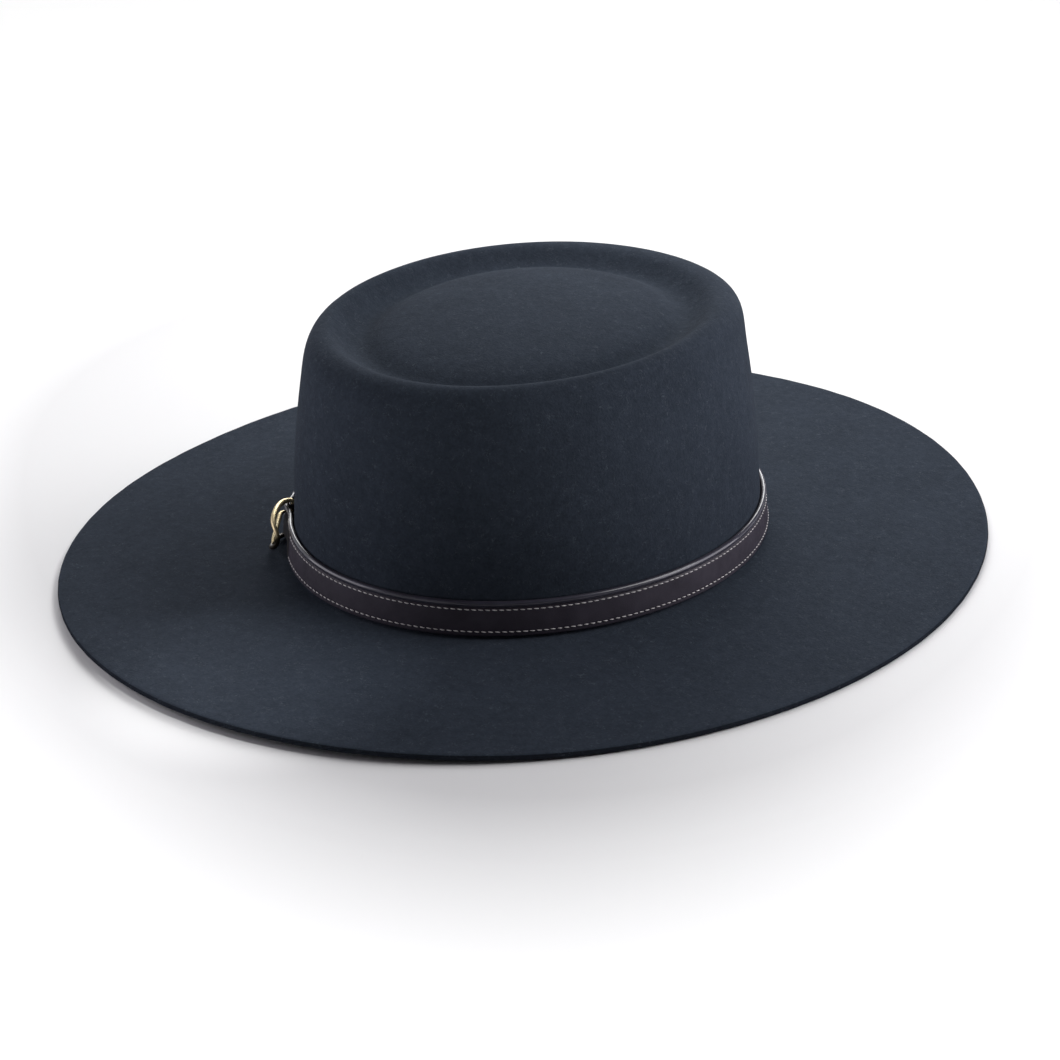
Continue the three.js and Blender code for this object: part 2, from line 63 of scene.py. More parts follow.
# The outer face from the middle of the top to the raw edge, as control rows of a smooth curve:
# half length along Y, half width along X, shift along Y, squareness, height over X and over Y,
# and the tilt that lowers the front
FELT_ROWS = [
    (0, 0, -3.2, 2, 110, 110, 0),
    (24, 19.5, -3.2, 2, 109.5, 109.3, -0.4),
    (46, 38, -3.2, 2, 107.9, 107.2, -0.8),
    (58.5, 48.3, -3.2, 2, 106.1, 105.1, -1.1),
    (65.5, 54.2, -3.2, 2, 104.4, 103.1, -1.3),
    (70.5, 58.3, -3.2, 2, 101.2, 100.2, -0.9),
    (76.5, 63, -3.2, 2, 100.2, 99.4, -0.2),
    (83.5, 68.3, -3.2, 2.02, 104.4, 103.6, 0.6),
    (89, 72.2, -3.2, 2.03, 109.2, 108, 1.6),
    (98, 76.4, -2, 2.04, 107.3, 106.5, 1.4),
    (104.3, 79.2, -0.7, 2.05, 101, 98.8, 1.2),
    (104.8, 80.8, -1.1, 2.045, 92, 87, 1.3),
    (105.6, 84.9, -0.8, 2.04, 74, 72, 0.8),
    (106.3, 89.6, -0.4, 2.03, 48, 48, 0.3),
    (105.4, 91.5, 0, 2.016, 27, 27, 0),
    (105.9, 92.1, 0, 2.016, 19, 19, 0),
    (106.6, 92.8, 0, 2.016, 12.6, 12.6, 0),
    (106.9, 93.1, 0, 2.016, 9.1, 9.1, 0),
    (107.2, 93.4, 0, 2.016, 6.4, 6.4, 0),
    (110, 96.2, 0, 2.016, 6.6, 6.7, 0),
    (116, 102.2, 0, 2.015, 6.35, 6.65, 0),
    (140, 123, 0, 2.012, 5.3, 6.35, 0),
    (175, 153, 0, 2.01, 3.6, 6.2, -0.2),
    (198, 172.5, 0, 2.01, 2.6, 5.9, -0.2),
    (207.2, 180.8, 0, 2.01, 2.4, 5.75, -0.25),
    (209.8, 183.4, 0, 2.01, 2.4, 5.7, -0.25),
    (210.7, 184.3, 0, 2.01, 1.9, 5.2, -0.25),
    (210.7, 184.3, 0, 2.01, 0.1, 3.4, -0.25),
    (209.8, 183.4, 0, 2.01, -0.4, 2.9, -0.25),
    (207, 180.6, 0, 2.01, -0.4, 2.9, -0.25),
]
# The control row where the raw edge's rounding starts, and the last one the inner face follows
EDGE_ROW = 24
INNER_ROW = 24
# The stretch of control rows that the cut edge's face covers; that face is painted darker as shade
CUT_ROWS = (25.4, 28)

# How far the felt strays from its even shape, in waves round the hat: waves in a turn, phase and
# height, for the brim, the crown's wall and the raw edge
BRIM_WAVES = [(3, 0.7, 0.2), (5, 2.1, 0.13), (8, 4, 0.08), (13, 1.2, 0.05)]
WALL_WAVES = [(2, 1, 0.12), (5, 3.3, 0.1), (7, 0.4, 0.07)]
EDGE_WAVES = [(61, 0.3, 0.03), (97, 2.2, 0.025)]
# The stretches of control rows over which these waves fade in, and those of the wall out again
BRIM_FADE = (19, 23)
WALL_FADE_IN = (8, 10.5)
WALL_FADE_OUT = (11.5, 13.2)
EDGE_FADE = (24, 25.5)

# The crown's foot, as half length, half width and squareness, the steps each way of the table of
# distances round it, and the small angle over which its slope is taken, in radians
FOOT = (105.84, 92.03, 2.016)
FOOT_STEPS = 6000
SLOPE_TURN = 0.01
# The band: the height of its top, its half width, how far its bottom stands out from its top, its
# thickness and its gap to the felt
BAND_TOP = 22.4
BAND_HALF = 7.25
BAND_FLARE = 1.5
BAND_THICK = 1.8
GAP = 0.3
# The buckle's place round the crown, how far its heel bar lies behind it, the strap's half width
# and rise there, and the angles from it over which the rise fades, in radians
BUCKLE_ANGLE = math.radians(-138)
HEEL_BACK = 9
BUCKLE_HALF = 6.6
BUCKLE_RISE = 0.5
RISE_FADE_NEAR = (0.15, 0.6)
RISE_FADE_FAR = (0.65, 1.1)
# The folded end: its thinned leather, the heel bar's radius and the gap between them
SKIVED = 0.7
HEEL_RADIUS = 0.65
HEEL_GAP = 0.2
HEEL_OUT = GAP + SKIVED + HEEL_GAP + HEEL_RADIUS
# Half the width of the tip's very end
TIP_HALF = 1.8
# The strap's stations round the heel bar and round the crown, the angle over which it widens after
# its first lap, in radians, and the step of its smooth path
HEEL_STATIONS = 9
ROUND_STATIONS = 62
WIDEN_TURN = 0.25
STRAP_STEP = 1.4
# The band near the buckle: distance along from the heel bar towards the nose, the leather's
# middle out from the crown, its thickness and its half width
FOLDED_END = [
    (-9.5, 1.55, SKIVED, BUCKLE_HALF),
    (-6.5, 1.55, SKIVED, BUCKLE_HALF),
    (-4, 1.95, SKIVED, BUCKLE_HALF),
    (-2, 2.75, SKIVED, BUCKLE_HALF),
]
FIRST_LAP = [
    (-4, 0.65, SKIVED, BUCKLE_HALF),
    (-10, 0.65, SKIVED, BUCKLE_HALF),
    (-12.5, 1.2, BAND_THICK, BUCKLE_HALF),
    (-24, 1.2, BAND_THICK, BUCKLE_HALF),
    (-26, 1.65, 0.9, BUCKLE_HALF),
    (-36, 1.65, 0.9, BUCKLE_HALF),
    (-38, 1.2, BAND_THICK, BUCKLE_HALF),
    (-47, 1.2, BAND_THICK, BUCKLE_HALF),
    (-56, 1.2, BAND_THICK, BUCKLE_HALF),
]
TIP_LAP = [
    (30, 1.2, BAND_THICK, BAND_HALF),
    (23, 1.2, BAND_THICK, 7.1),
    (16, 1.2, BAND_THICK, 6.8),
    (13, 1.25, 1.6, BUCKLE_HALF),
    (10, 1.5, 1.4, BUCKLE_HALF),
    (7, 2.2, 1.3, BUCKLE_HALF),
    (4, 3.2, 1.3, BUCKLE_HALF),
    (1.8, 4.05, 1.3, BUCKLE_HALF),
    (0, 4.35, 1.3, BUCKLE_HALF),
    (-2, 4.2, 1.3, BUCKLE_HALF),
    (-4.5, 3.65, 1.3, BUCKLE_HALF),
    (-8, 3.25, 1.5, BUCKLE_HALF),
    (-13, 3.3, BAND_THICK, BUCKLE_HALF),
    (-22, 3.3, BAND_THICK, BUCKLE_HALF),
    (-31, 3.3, BAND_THICK, BUCKLE_HALF),
    (-40, 3.3, BAND_THICK, BUCKLE_HALF),
    (-48, 3.3, BAND_THICK, 6.3),
    (-52, 3.3, BAND_THICK, 5.3),
    (-55, 3.3, BAND_THICK, 3.6),
    (-56.5, 3.3, BAND_THICK, TIP_HALF),
]

# Across the band's faces, from an edge inwards: distance in and height over the flat face. The
# outer face has a rolled bead with a groove below it at the top, and a thinned edge at the bottom
BEAD = [
    (0, -0.75), (0.06, -0.42), (0.2, -0.1), (0.45, 0.14), (0.8, 0.28), (1.2, 0.32), (1.6, 0.26),
    (2, 0.08), (2.25, -0.15), (2.45, -0.42), (2.65, -0.55), (2.85, -0.45), (3.05, -0.18),
    (3.3, -0.03), (3.7, 0), (4.6, 0),
]
LIP = [
    (0, -0.62), (0.06, -0.4), (0.2, -0.2), (0.45, -0.1), (0.9, -0.08), (1.4, -0.1), (1.8, -0.12),
    (2.1, -0.07), (2.5, 0), (3.4, 0),
]
BACK_EDGE = [(0, 0.55), (0.15, 0.25), (0.5, 0.05), (1.1, 0), (3.4, 0)]
# How many of the bead's points are burnished
BEAD_POINTS = 9
# The stretch of the tip's lap inside the buckle, which has no stitches and is painted near black
# as shade
INSIDE_BUCKLE = (-8, 27)
# The stitches' rows, as distances in from the edges, where they start along the strap and how far
# before the tip they end
TOP_STITCHES = 3.3
LOW_STITCHES = 2
STITCHES_START = -58
STITCHES_END = 4
# One stitch: its pitch, length, radius and slant, how far its middle stands out and its ends are
# sunk, how much it tapers, and its mesh
STITCH_PITCH = 2.8
STITCH_LENGTH = 2.1
STITCH_RADIUS = 0.245
STITCH_SLANT = 0.1
STITCH_ARCH = 0.12
STITCH_SUNK = 0.08
STITCH_TAPER = 0.8
TAPER_POWER = 2.5
STITCH_STEPS = 7
STITCH_SIDES = 6

# The keeper: its place along the strap, half its width, its walls, the powers that square its
# loop, its sides and its edges, and its mesh
KEEPER = {"along": -31, "half": 4, "back": 0.6, "front": 1.1}
KEEPER_LOOP_POWER = 0.18
KEEPER_SIDE_POWER = 0.35
KEEPER_EDGE_POWER = 0.6
KEEPER_INSET = 0.02
KEEPER_STEPS = 48
KEEPER_SIDES = 16

# The buckle's frame: its length, how far it bulges out and how squarely, the squareness of its
# face, and how far and how suddenly its nose drops back
FRAME_LENGTH = 24.2
FRAME_BULGE = 6.9
BULGE_POWER = 2.4
FRAME_POWER = 2.6
NOSE_DROP = 2.9
DROP_START = 0.3
DROP_POWER = 6
# Its arms' gap to the strap, its wire's radii, and where the upper arm is thicker: the stretches
# of height and of reach towards the nose over which it swells
ARM_GAP = 0.4
ARM_RADIUS = 0.95
NOSE_RADIUS = 1
TOP_ARM_SWELL = 0.25
SWELL_UP = (4, 7.5)
SWELL_ALONG = (0, 0.12)
FRAME_HALF = BUCKLE_HALF + ARM_GAP + ARM_RADIUS
# Its mesh, and the share of its half height that the heel bar spans
FRAME_SAMPLES = 4001
WIRE_STEP = 0.35
WIRE_SIDES = 20
HEEL_STEPS = 13
HEEL_REACH = 0.88
# The heights between which the frame's painted shade fades out, from dark brass to bright
DARK_BELOW = 17
BRIGHT_ABOVE = 19.6
# The prong in the buckle's axes: u towards the nose, w outwards, z up, and its radius
PRONG = [
    (-1.17, -0.46, 3.5, 0.4),
    (-1.26, 0.1, 3.5, 0.4),
    (-0.95, 0.85, 3.5, 0.4),
    (-0.1, 1.3, 3.45, 0.4),
    (1, 1.9, 3.35, 0.45),
    (1.8, 3, 3.25, 0.55),
    (3.2, 4.2, 3, 0.85),
    (8, 4.75, 2.3, 0.98),
    (16, 5.3, 0.95, 0.95),
    (24.2, 5.8, -0.5, 0.7),
    (25.9, 5.85, -0.8, 0.5),
]
PRONG_STEP = 0.25
# The shares of its end's radius at which the prong's tip is rounded off
TIP_SHARES = (0.5, 0.8, 0.95)
# The slot in the fold and the hole in the tip's lap for the prong, as boxes in u, w and z
SLOT = ((-2.3, 2.4), (-1.2, 1.75), (2.4, 4.4))
HOLE = ((-0.3, 3.2), (1.2, 4.6), (2.1, 4.4))

# Colours in linear light, each pair from dark to light or from dull to bright
FELT_COLOURS = ((0.0202, 0.0253, 0.0342), (0.0366, 0.046, 0.0622))
# The cut edge's face, painted darker than the felt as shade
CUT_EDGE_SHADE_COLOURS = ((0.0095, 0.0115, 0.016), (0.016, 0.0195, 0.027))
FIBRE_COLOUR = (0.085, 0.1, 0.12)
NAP_TINT = (0.62, 0.68, 0.78)
LEATHER_COLOURS = ((0.025, 0.021, 0.031), (0.04, 0.034, 0.048))
BEAD_COLOURS = ((0.023, 0.021, 0.03), (0.037, 0.035, 0.05))
# The tip's lap inside the buckle, painted near black as shade
BUCKLE_SHADE_COLOURS = ((0.006, 0.005, 0.006), (0.011, 0.009, 0.012))
COAT_TINT = (0.93, 0.94, 1)
THREAD_COLOURS = ((0.44, 0.42, 0.43), (0.74, 0.71, 0.69))
FRAME_COLOURS = ((0.52, 0.41, 0.22), (0.78, 0.66, 0.42))
# The prong, paler than the frame's brass as a painted highlight
PRONG_HIGHLIGHT_COLOURS = ((0.56, 0.45, 0.25), (0.86, 0.76, 0.52))
# The frame's lower half, painted this dark as shade
BRASS_PAINTED_SHADE = (0.035, 0.027, 0.019)
FLOOR_COLOUR = (0.81, 0.81, 0.81)
# The leather's gloss on the band's face, on the rolled bead and inside the buckle, where it is
# painted shade
LEATHER_GLOSS = 0.03
BEAD_GLOSS = 1
BUCKLE_SHADE_GLOSS = 0
# The felt's mottling from coarse to fine: features per metre, roughness and share of the tone
FELT_LAYERS = [(45, 0.55, 0.2), (300, 0.6, 0.35), (950, 0.65, 0.45)]

# Far lights: degrees round from the camera to its right, degrees up and strength
SUNS = {
    "rear": (180, 22, 1.61),
    "rear_left": (-135, 22, 0.18),
    "right": (90, 45, 1.12),
}
SUN_SPREAD = math.radians(35)
# Near soft boxes: degrees round, degrees up and power in watts
BOXES = {
    "right_low": (90, 15, 3.1),
    "left_low": (-90, 15, 2.45),
    "front_left": (-45, 15, 0.31),
}
BOX_COLOUR = (0.95, 0.92, 1)
BOX_SIDE = 0.6
BOX_DISTANCE = 0.75
# The height that the far lights and the boxes are aimed at, in metres
AIM_HEIGHT = 0.05
# Overhead lamps: metres to the camera's right, away from it and up, and power in watts
LAMPS = {
    "top_far": (0.03, 0.3, 0.35, 0.85),
    "top_left": (-0.2, 0.15, 0.4, 0.06),
    "top_right": (0.2, 0.1, 0.4, 0.55),
}
LAMP_SIDE = 0.3
# A soft spot straight above the brim: metres right, far and up, watts, and the cone's angle
SPOT = (-0.107, -0.134, 1, 17, math.radians(9))
WORLD_STRENGTH = 0.01
# Half of the floor's side
FLOOR_HALF = 6000
# The floor glows a little outside an oval round the hat: painted light, which leaves a painted
# shadow round the hat inside the oval. In metres across the camera's view: the oval's middle to
# the right and away, its half width where the glow starts and is full, and how much longer it is
# than wide, towards the camera and away from it
GLOW_MIDDLE = (0.002, 0.115)
GLOW_FROM = 0.225
GLOW_FULL = 0.311
GLOW_LONGER = (1.52, 1.05)
GLOW_STRENGTH = 0.44


def smooth(x, low, high):
    """0 below low, 1 above high, and a smooth step between them."""
    t = np.clip((x - low) / (high - low), 0, 1)
    return t * t * (3 - 2 * t)


def bent(value, power):
    """A cosine or sine raised to a power with its sign kept, which squares or rounds an oval."""
    return np.sign(value) * np.abs(value) ** power


def unit(vectors):
    """Vectors scaled to a length of 1."""
    return vectors / np.linalg.norm(vectors, axis=-1, keepdims=True)


def quarter_turn(vectors):
    """Level vectors turned a quarter turn to the left."""
    return np.stack([-vectors[..., 1], vectors[..., 0], 0 * vectors[..., 0]], -1)


def distances_along(points):
    """How far along a line of points each of them is."""
    steps = np.linalg.norm(np.diff(points, axis=0), axis=1)
    return np.concatenate([[0], np.cumsum(steps)])


def mesh_piece(name, points, faces, material):
    """A smooth-shaded mesh object in metres from points in millimetres."""
    mesh = bpy.data.meshes.new(name)
    mesh.from_pydata((np.asarray(points, float) * MM).tolist(), [], faces)
    mesh.validate()
    mesh.update()
    mesh.shade_smooth()
    piece = bpy.data.objects.new(name, mesh)
    bpy.context.scene.collection.objects.link(piece)
    mesh.materials.append(material)
    return piece


def grid_faces(rows, columns, loop=False):
    """Quads between rings of columns points each, closed round every ring."""
    i, j = np.meshgrid(np.arange(rows if loop else rows - 1), np.arange(columns), indexing="ij")
    k = (j + 1) % columns
    n = (i + 1) % rows
    quads = np.stack([i * columns + j, i * columns + k, n * columns + k, n * columns + j], -1)
    return quads.reshape(-1, 4)


def outward_faces(points, *groups):
    """Groups of faces, each an array of one width, as one list turned to face out."""
    points = np.asarray(points, float)
    volume = 0.0
    for group in groups:
        group = np.asarray(group)
        corner = points[group]
        for k in range(1, group.shape[1] - 1):
            volume += (corner[:, 0] * np.cross(corner[:, k], corner[:, k + 1])).sum()
    turn = -1 if volume < 0 else 1
    return [face for group in groups for face in np.asarray(group)[:, ::turn].tolist()]


def swept_piece(name, rings, material, loop=False, ends=None):
    """A closed skin over rings of points, with a fan on each open end round its middle point."""
    rings = np.asarray(rings, float)
    rows, columns = rings.shape[:2]
    points = rings.reshape(-1, 3)
    groups = [grid_faces(rows, columns, loop)]
    if not loop:
        base = len(points)
        points = np.vstack([points, *(ends or (rings[0].mean(0), rings[-1].mean(0)))])
        last = (rows - 1) * columns
        j = np.arange(columns)
        k = (j + 1) % columns
        groups.append(np.stack([k, j, np.full_like(j, base)], -1))
        groups.append(np.stack([last + j, last + k, np.full_like(j, base + 1)], -1))
    return mesh_piece(name, points, outward_faces(points, *groups), material)


def through_points(values, at, step):
    """A smooth run of rows through the given rows, which lie at distances, at about even steps."""
    values = np.asarray(values, float)
    slopes = np.gradient(values, at, axis=0)
    rows = []
    for i in range(len(values) - 1):
        span = at[i + 1] - at[i]
        count = max(2, round(span / step))
        for t in np.arange(count) / count:
            h = (2 * t**3 - 3 * t**2 + 1, t**3 - 2 * t**2 + t, 3 * t**2 - 2 * t**3, t**3 - t**2)
            ends = h[0] * values[i] + h[2] * values[i + 1]
            rows.append(ends + span * (h[1] * slopes[i] + h[3] * slopes[i + 1]))
    rows.append(values[-1])
    return np.array(rows)


def new_material(name):
    """A material with its node tree and its Principled shader."""
    material = bpy.data.materials.new(name)
    material.use_nodes = True
    tree = material.node_tree
    return material, tree, tree.nodes["Principled BSDF"]


def noise(tree, scale, detail=3, roughness=0.55, twist=0):
    """A noise texture's value in object space, with scale in features per metre."""
    coordinates = tree.nodes.new("ShaderNodeTexCoord")
    texture = tree.nodes.new("ShaderNodeTexNoise")
    texture.inputs["Scale"].default_value = scale
    texture.inputs["Detail"].default_value = detail
    texture.inputs["Roughness"].default_value = roughness
    texture.inputs["Distortion"].default_value = twist
    tree.links.new(coordinates.outputs["Object"], texture.inputs["Vector"])
    return texture.outputs["Fac"]


def remap(tree, value, low, high, to_low=0.0, to_high=1.0):
    """A value mapped from one range to another, clamped."""
    node = tree.nodes.new("ShaderNodeMapRange")
    node.inputs["From Min"].default_value = low
    node.inputs["From Max"].default_value = high
    node.inputs["To Min"].default_value = to_low
    node.inputs["To Max"].default_value = to_high
    tree.links.new(value, node.inputs["Value"])
    return node.outputs["Result"]


def combine(tree, operation, a, b=0):
    """The sum, product or other function of two values, of a value and a number, or of a value."""
    node = tree.nodes.new("ShaderNodeMath")
    node.operation = operation
    tree.links.new(a, node.inputs[0])
    if isinstance(b, (int, float)):
        node.inputs[1].default_value = b
    else:
        tree.links.new(b, node.inputs[1])
    return node.outputs["Value"]


def blend_colours(tree, share, a, b):
    """A mix of two colours, each a colour or another node's output."""
    node = tree.nodes.new("ShaderNodeMix")
    node.data_type = "RGBA"
    tree.links.new(share, node.inputs["Factor"])
    for socket, colour in ((node.inputs[6], a), (node.inputs[7], b)):
        if isinstance(colour, tuple):
            socket.default_value = (*colour, 1)
        else:
            tree.links.new(colour, socket)
    return node.outputs[2]


def bump(tree, shader, height, strength, distance):
    """Drives the shader's normal by a height."""
    node = tree.nodes.new("ShaderNodeBump")
    node.inputs["Strength"].default_value = strength
    node.inputs["Distance"].default_value = distance
    tree.links.new(height, node.inputs["Height"])
    tree.links.new(node.outputs["Normal"], shader.inputs["Normal"])


def felt_material(name, dark, light):
    """Dark blue-grey wool felt: mottled, with a short nap, fine specks and curled fibres."""
    material, tree, shader = new_material(name)
    tone = None
    for scale, roughness, share in FELT_LAYERS:
        layer = remap(tree, noise(tree, scale, 3, roughness), 0.3, 0.7, 0, share)
        tone = combine(tree, "ADD", tone, layer) if tone else layer
    ground = blend_colours(tree, tone, dark, light)
    swing = combine(tree, "SUBTRACT", noise(tree, 420, 1, 0.5, twist=1.4), 0.5)
    lines = remap(tree, combine(tree, "ABSOLUTE", swing), 0.02, 0)
    breaks = remap(tree, noise(tree, 230, 2), 0.5, 0.58, 0, 0.5)
    fibres = combine(tree, "MULTIPLY", lines, breaks)
    colour = blend_colours(tree, fibres, ground, FIBRE_COLOUR)
    tree.links.new(colour, shader.inputs["Base Color"])
    shader.inputs["Roughness"].default_value = 0.95
    shader.inputs["Specular IOR Level"].default_value = 0.03
    shader.inputs["Sheen Weight"].default_value = 0.008
    shader.inputs["Sheen Roughness"].default_value = 0.5
    shader.inputs["Sheen Tint"].default_value = (*NAP_TINT, 1)
    height = combine(tree, "ADD", tone, combine(tree, "MULTIPLY", noise(tree, 2600, 2), 0.3))
    bump(tree, shader, height, 0.45, 0.0004)
    return material


def leather_material(name, gloss, dull, bright):
    """Dark plum-brown leather with fine pores and faint marks; gloss is its coat's share."""
    material, tree, shader = new_material(name)
    cloud = remap(tree, noise(tree, 90, 5), 0.3, 0.72)
    tree.links.new(blend_colours(tree, cloud, dull, bright), shader.inputs["Base Color"])
    sheen = remap(tree, noise(tree, 260, 4), 0.3, 0.7, 0.5, 0.64)
    tree.links.new(sheen, shader.inputs["Roughness"])
    shader.inputs["Specular IOR Level"].default_value = 0.28
    shader.inputs["Coat Weight"].default_value = gloss
    shader.inputs["Coat Roughness"].default_value = 0.08
    shader.inputs["Coat Tint"].default_value = (*COAT_TINT, 1)
    coordinates = tree.nodes.new("ShaderNodeTexCoord")
    pores = tree.nodes.new("ShaderNodeTexVoronoi")
    pores.inputs["Scale"].default_value = 1400
    tree.links.new(coordinates.outputs["Object"], pores.inputs["Vector"])
    pits = remap(tree, pores.outputs["Distance"], 0, 0.5)
    height = combine(tree, "ADD", pits, noise(tree, 500, 4))
    bump(tree, shader, height, 0.2, 0.0001)
    return material


def thread_material():
    """Waxed cream-grey thread with a fine twist."""
    material, tree, shader = new_material("thread")
    twist = noise(tree, 3000, 2)
    colour = blend_colours(tree, remap(tree, twist, 0.35, 0.65), *THREAD_COLOURS)
    tree.links.new(colour, shader.inputs["Base Color"])
    shader.inputs["Roughness"].default_value = 0.6
    shader.inputs["Sheen Weight"].default_value = 0.2
    bump(tree, shader, twist, 0.3, 0.0001)
    return material


def brass_material(name, dull, bright):
    """Pale brushed brass, a little tarnished in patches, with its tree, shader and colour."""
    material, tree, shader = new_material(name)
    patches = remap(tree, noise(tree, 220, 4), 0.35, 0.7)
    colour = blend_colours(tree, patches, bright, dull)
    tree.links.new(colour, shader.inputs["Base Color"])
    brushed = remap(tree, noise(tree, 500, 3), 0.3, 0.7, 0.38, 0.5)
    tree.links.new(brushed, shader.inputs["Roughness"])
    shader.inputs["Metallic"].default_value = 0.85
    bump(tree, shader, noise(tree, 1500, 3), 0.02, 0.0001)
    return material, tree, shader, colour


def paint_shade_on_low_brass(tree, shader, colour):
    """Darkens the brass towards its lower half with painted shade."""
    place = tree.nodes.new("ShaderNodeSeparateXYZ")
    coordinates = tree.nodes.new("ShaderNodeTexCoord")
    tree.links.new(coordinates.outputs["Object"], place.inputs["Vector"])
    share = remap(tree, place.outputs["Z"], DARK_BELOW * MM, BRIGHT_ABOVE * MM)
    shaded_colour = blend_colours(tree, share, BRASS_PAINTED_SHADE, colour)
    tree.links.new(shaded_colour, shader.inputs["Base Color"])


def oval_points(rows, angles):
    """Points of the control rows' ovals at some angles, as rows by angles by three."""
    rows = np.atleast_2d(np.asarray(rows, float))[:, None, :]
    c, s = np.cos(angles), np.sin(angles)
    power = 2 / rows[..., 3]
    x = rows[..., 1] * bent(c, power)
    y = rows[..., 0] * bent(s, power) + rows[..., 2]
    z = rows[..., 4] * c * c + rows[..., 5] * s * s - rows[..., 6] * s
    return np.stack([x, y, z], -1)


def felt_steps():
    """The spline positions along every meridian, finer round the raw edge."""
    side = oval_points(FELT_ROWS, np.zeros(1))[:, 0]
    places = []
    for i in range(len(FELT_ROWS) - 1):
        length = np.linalg.norm(side[i + 1] - side[i])
        step = EDGE_STEP if i >= EDGE_ROW else FELT_STEP
        count = max(2, math.ceil(length / step))
        places += [i + k / count for k in range(count)]
    return np.array(places)


def felt_outside(angles, places):
    """The felt's outer face: a cubic spline through the control rows at every angle."""
    controls = oval_points(FELT_ROWS, angles)
    opposite = oval_points(FELT_ROWS[1], angles + math.pi)
    padded = np.concatenate([opposite, controls, controls[-1:]])
    i = np.floor(places).astype(int)
    t = (places - i)[:, None, None]
    weights = ((1 - t) ** 3, 3 * t**3 - 6 * t**2 + 4, -3 * t**3 + 3 * t**2 + 3 * t + 1, t**3)
    return sum(w * padded[i + k] for k, w in enumerate(weights)) / 6


def waves(table, angles):
    """A sum of waves round the hat, from rows of count, phase and height."""
    return sum(height * np.sin(count * angles + phase) for count, phase, height in table)


def facing_out(grid):
    """Unit normals of a grid of rings that start at the middle of the top."""
    along = np.gradient(grid, axis=0)
    round_about = np.roll(grid, -1, 1) - np.roll(grid, 1, 1)
    normal = np.cross(along, round_about)
    normal /= np.linalg.norm(normal, axis=-1, keepdims=True) + 1e-12
    return -normal if normal[len(grid) // 2, 0, 0] < 0 else normal


def felt_piece():
    """The crown and brim as one wall: the outer face, the raw edge and the inner face."""
    places = felt_steps()
    angles = 2 * math.pi * np.arange(FELT_COLUMNS) / FELT_COLUMNS
    outer = felt_outside(angles, places)
    on_brim = smooth(places, *BRIM_FADE)[:, None]
    on_wall = (smooth(places, *WALL_FADE_IN) * (1 - smooth(places, *WALL_FADE_OUT)))[:, None]
    on_edge = smooth(places, *EDGE_FADE)[:, None]
    outer[..., 2] += on_brim * waves(BRIM_WAVES, angles)
    normal = facing_out(outer)
    stray = on_wall * waves(WALL_WAVES, angles) + on_edge * waves(EDGE_WAVES, angles)
    outer += stray[..., None] * normal
    normal = facing_out(outer)
    inner_rows = [i for i in range(2, len(places), 2) if places[i] <= INNER_ROW]
    inner = outer[inner_rows] - FELT * normal[inner_rows]
    rings = np.concatenate([outer[1:], inner[::-1]])
    rings[..., 2] = np.maximum(rings[..., 2], 0)
    middle = outer[0].mean(0)
    soft = felt_material("felt", *FELT_COLOURS)
    piece = swept_piece("felt", rings, soft, ends=(middle, middle - (0, 0, FELT)))
    # The cut edge's face gets a darker felt, painted shade
    piece.data.materials.append(felt_material("felt_cut_edge_painted_shade", *CUT_EDGE_SHADE_COLOURS))
    first, last = np.searchsorted(places[1:], CUT_ROWS)
    for face in piece.data.polygons:
        rows = [i // FELT_COLUMNS for i in face.vertices]
        if min(rows) >= first and max(rows) <= last:
            face.material_index = 1
    return piece


def foot_point(angle):
    """The crown's foot at an angle, as a point at height 0."""
    angle = np.asarray(angle, float)
    x = FOOT[1] * bent(np.cos(angle), 2 / FOOT[2])
    y = FOOT[0] * bent(np.sin(angle), 2 / FOOT[2])
    return np.stack([x, y, 0 * x], -1)


def foot_slope(angle):
    """The direction and speed along the crown's foot."""
    angle = np.asarray(angle, float)
    return (foot_point(angle + SLOPE_TURN) - foot_point(angle - SLOPE_TURN)) / (2 * SLOPE_TURN)


def foot_table():
    """Angles one and a half turns either way from the buckle, and the distances along to them."""
    angles = BUCKLE_ANGLE + 3 * math.pi * np.linspace(-1, 1, 2 * FOOT_STEPS + 1)
    speed = np.linalg.norm(foot_slope(angles), axis=-1)
    steps = (speed[1:] + speed[:-1]) / 2 * np.diff(angles)
    lengths = np.concatenate([[0], np.cumsum(steps)])
    return angles, lengths - lengths[FOOT_STEPS] + HEEL_BACK


def angle_at(along):
    """The angle at a distance along the crown's foot from the heel bar towards the nose."""
    return np.interp(along, FOOT_LENGTHS, FOOT_ANGLES)


def outward_at(angle):
    """The level direction straight out from the crown's foot."""
    return unit(-quarter_turn(foot_slope(angle)))


def flare_at(z):
    """How far the band stands out at a height because it flares downwards."""
    return BAND_FLARE * (BAND_TOP - z) / (2 * BAND_HALF)


def beside_crown(angle, out, z):
    """Points out millimetres from the crown's foot at a height."""
    angle, out, z = np.broadcast_arrays(*(np.asarray(v, float) for v in (angle, out, z)))
    point = foot_point(angle) + outward_at(angle) * (out + flare_at(z))[..., None]
    point[..., 2] = z
    return point


def band_height(angle):
    """The band's middle height, a little raised at the buckle and the keeper."""
    turn = (angle - BUCKLE_ANGLE + math.pi) % (2 * math.pi) - math.pi
    faded = np.maximum(smooth(turn, *RISE_FADE_NEAR), smooth(-turn, *RISE_FADE_FAR))
    return BAND_TOP - BAND_HALF + BUCKLE_RISE * (1 - faded)


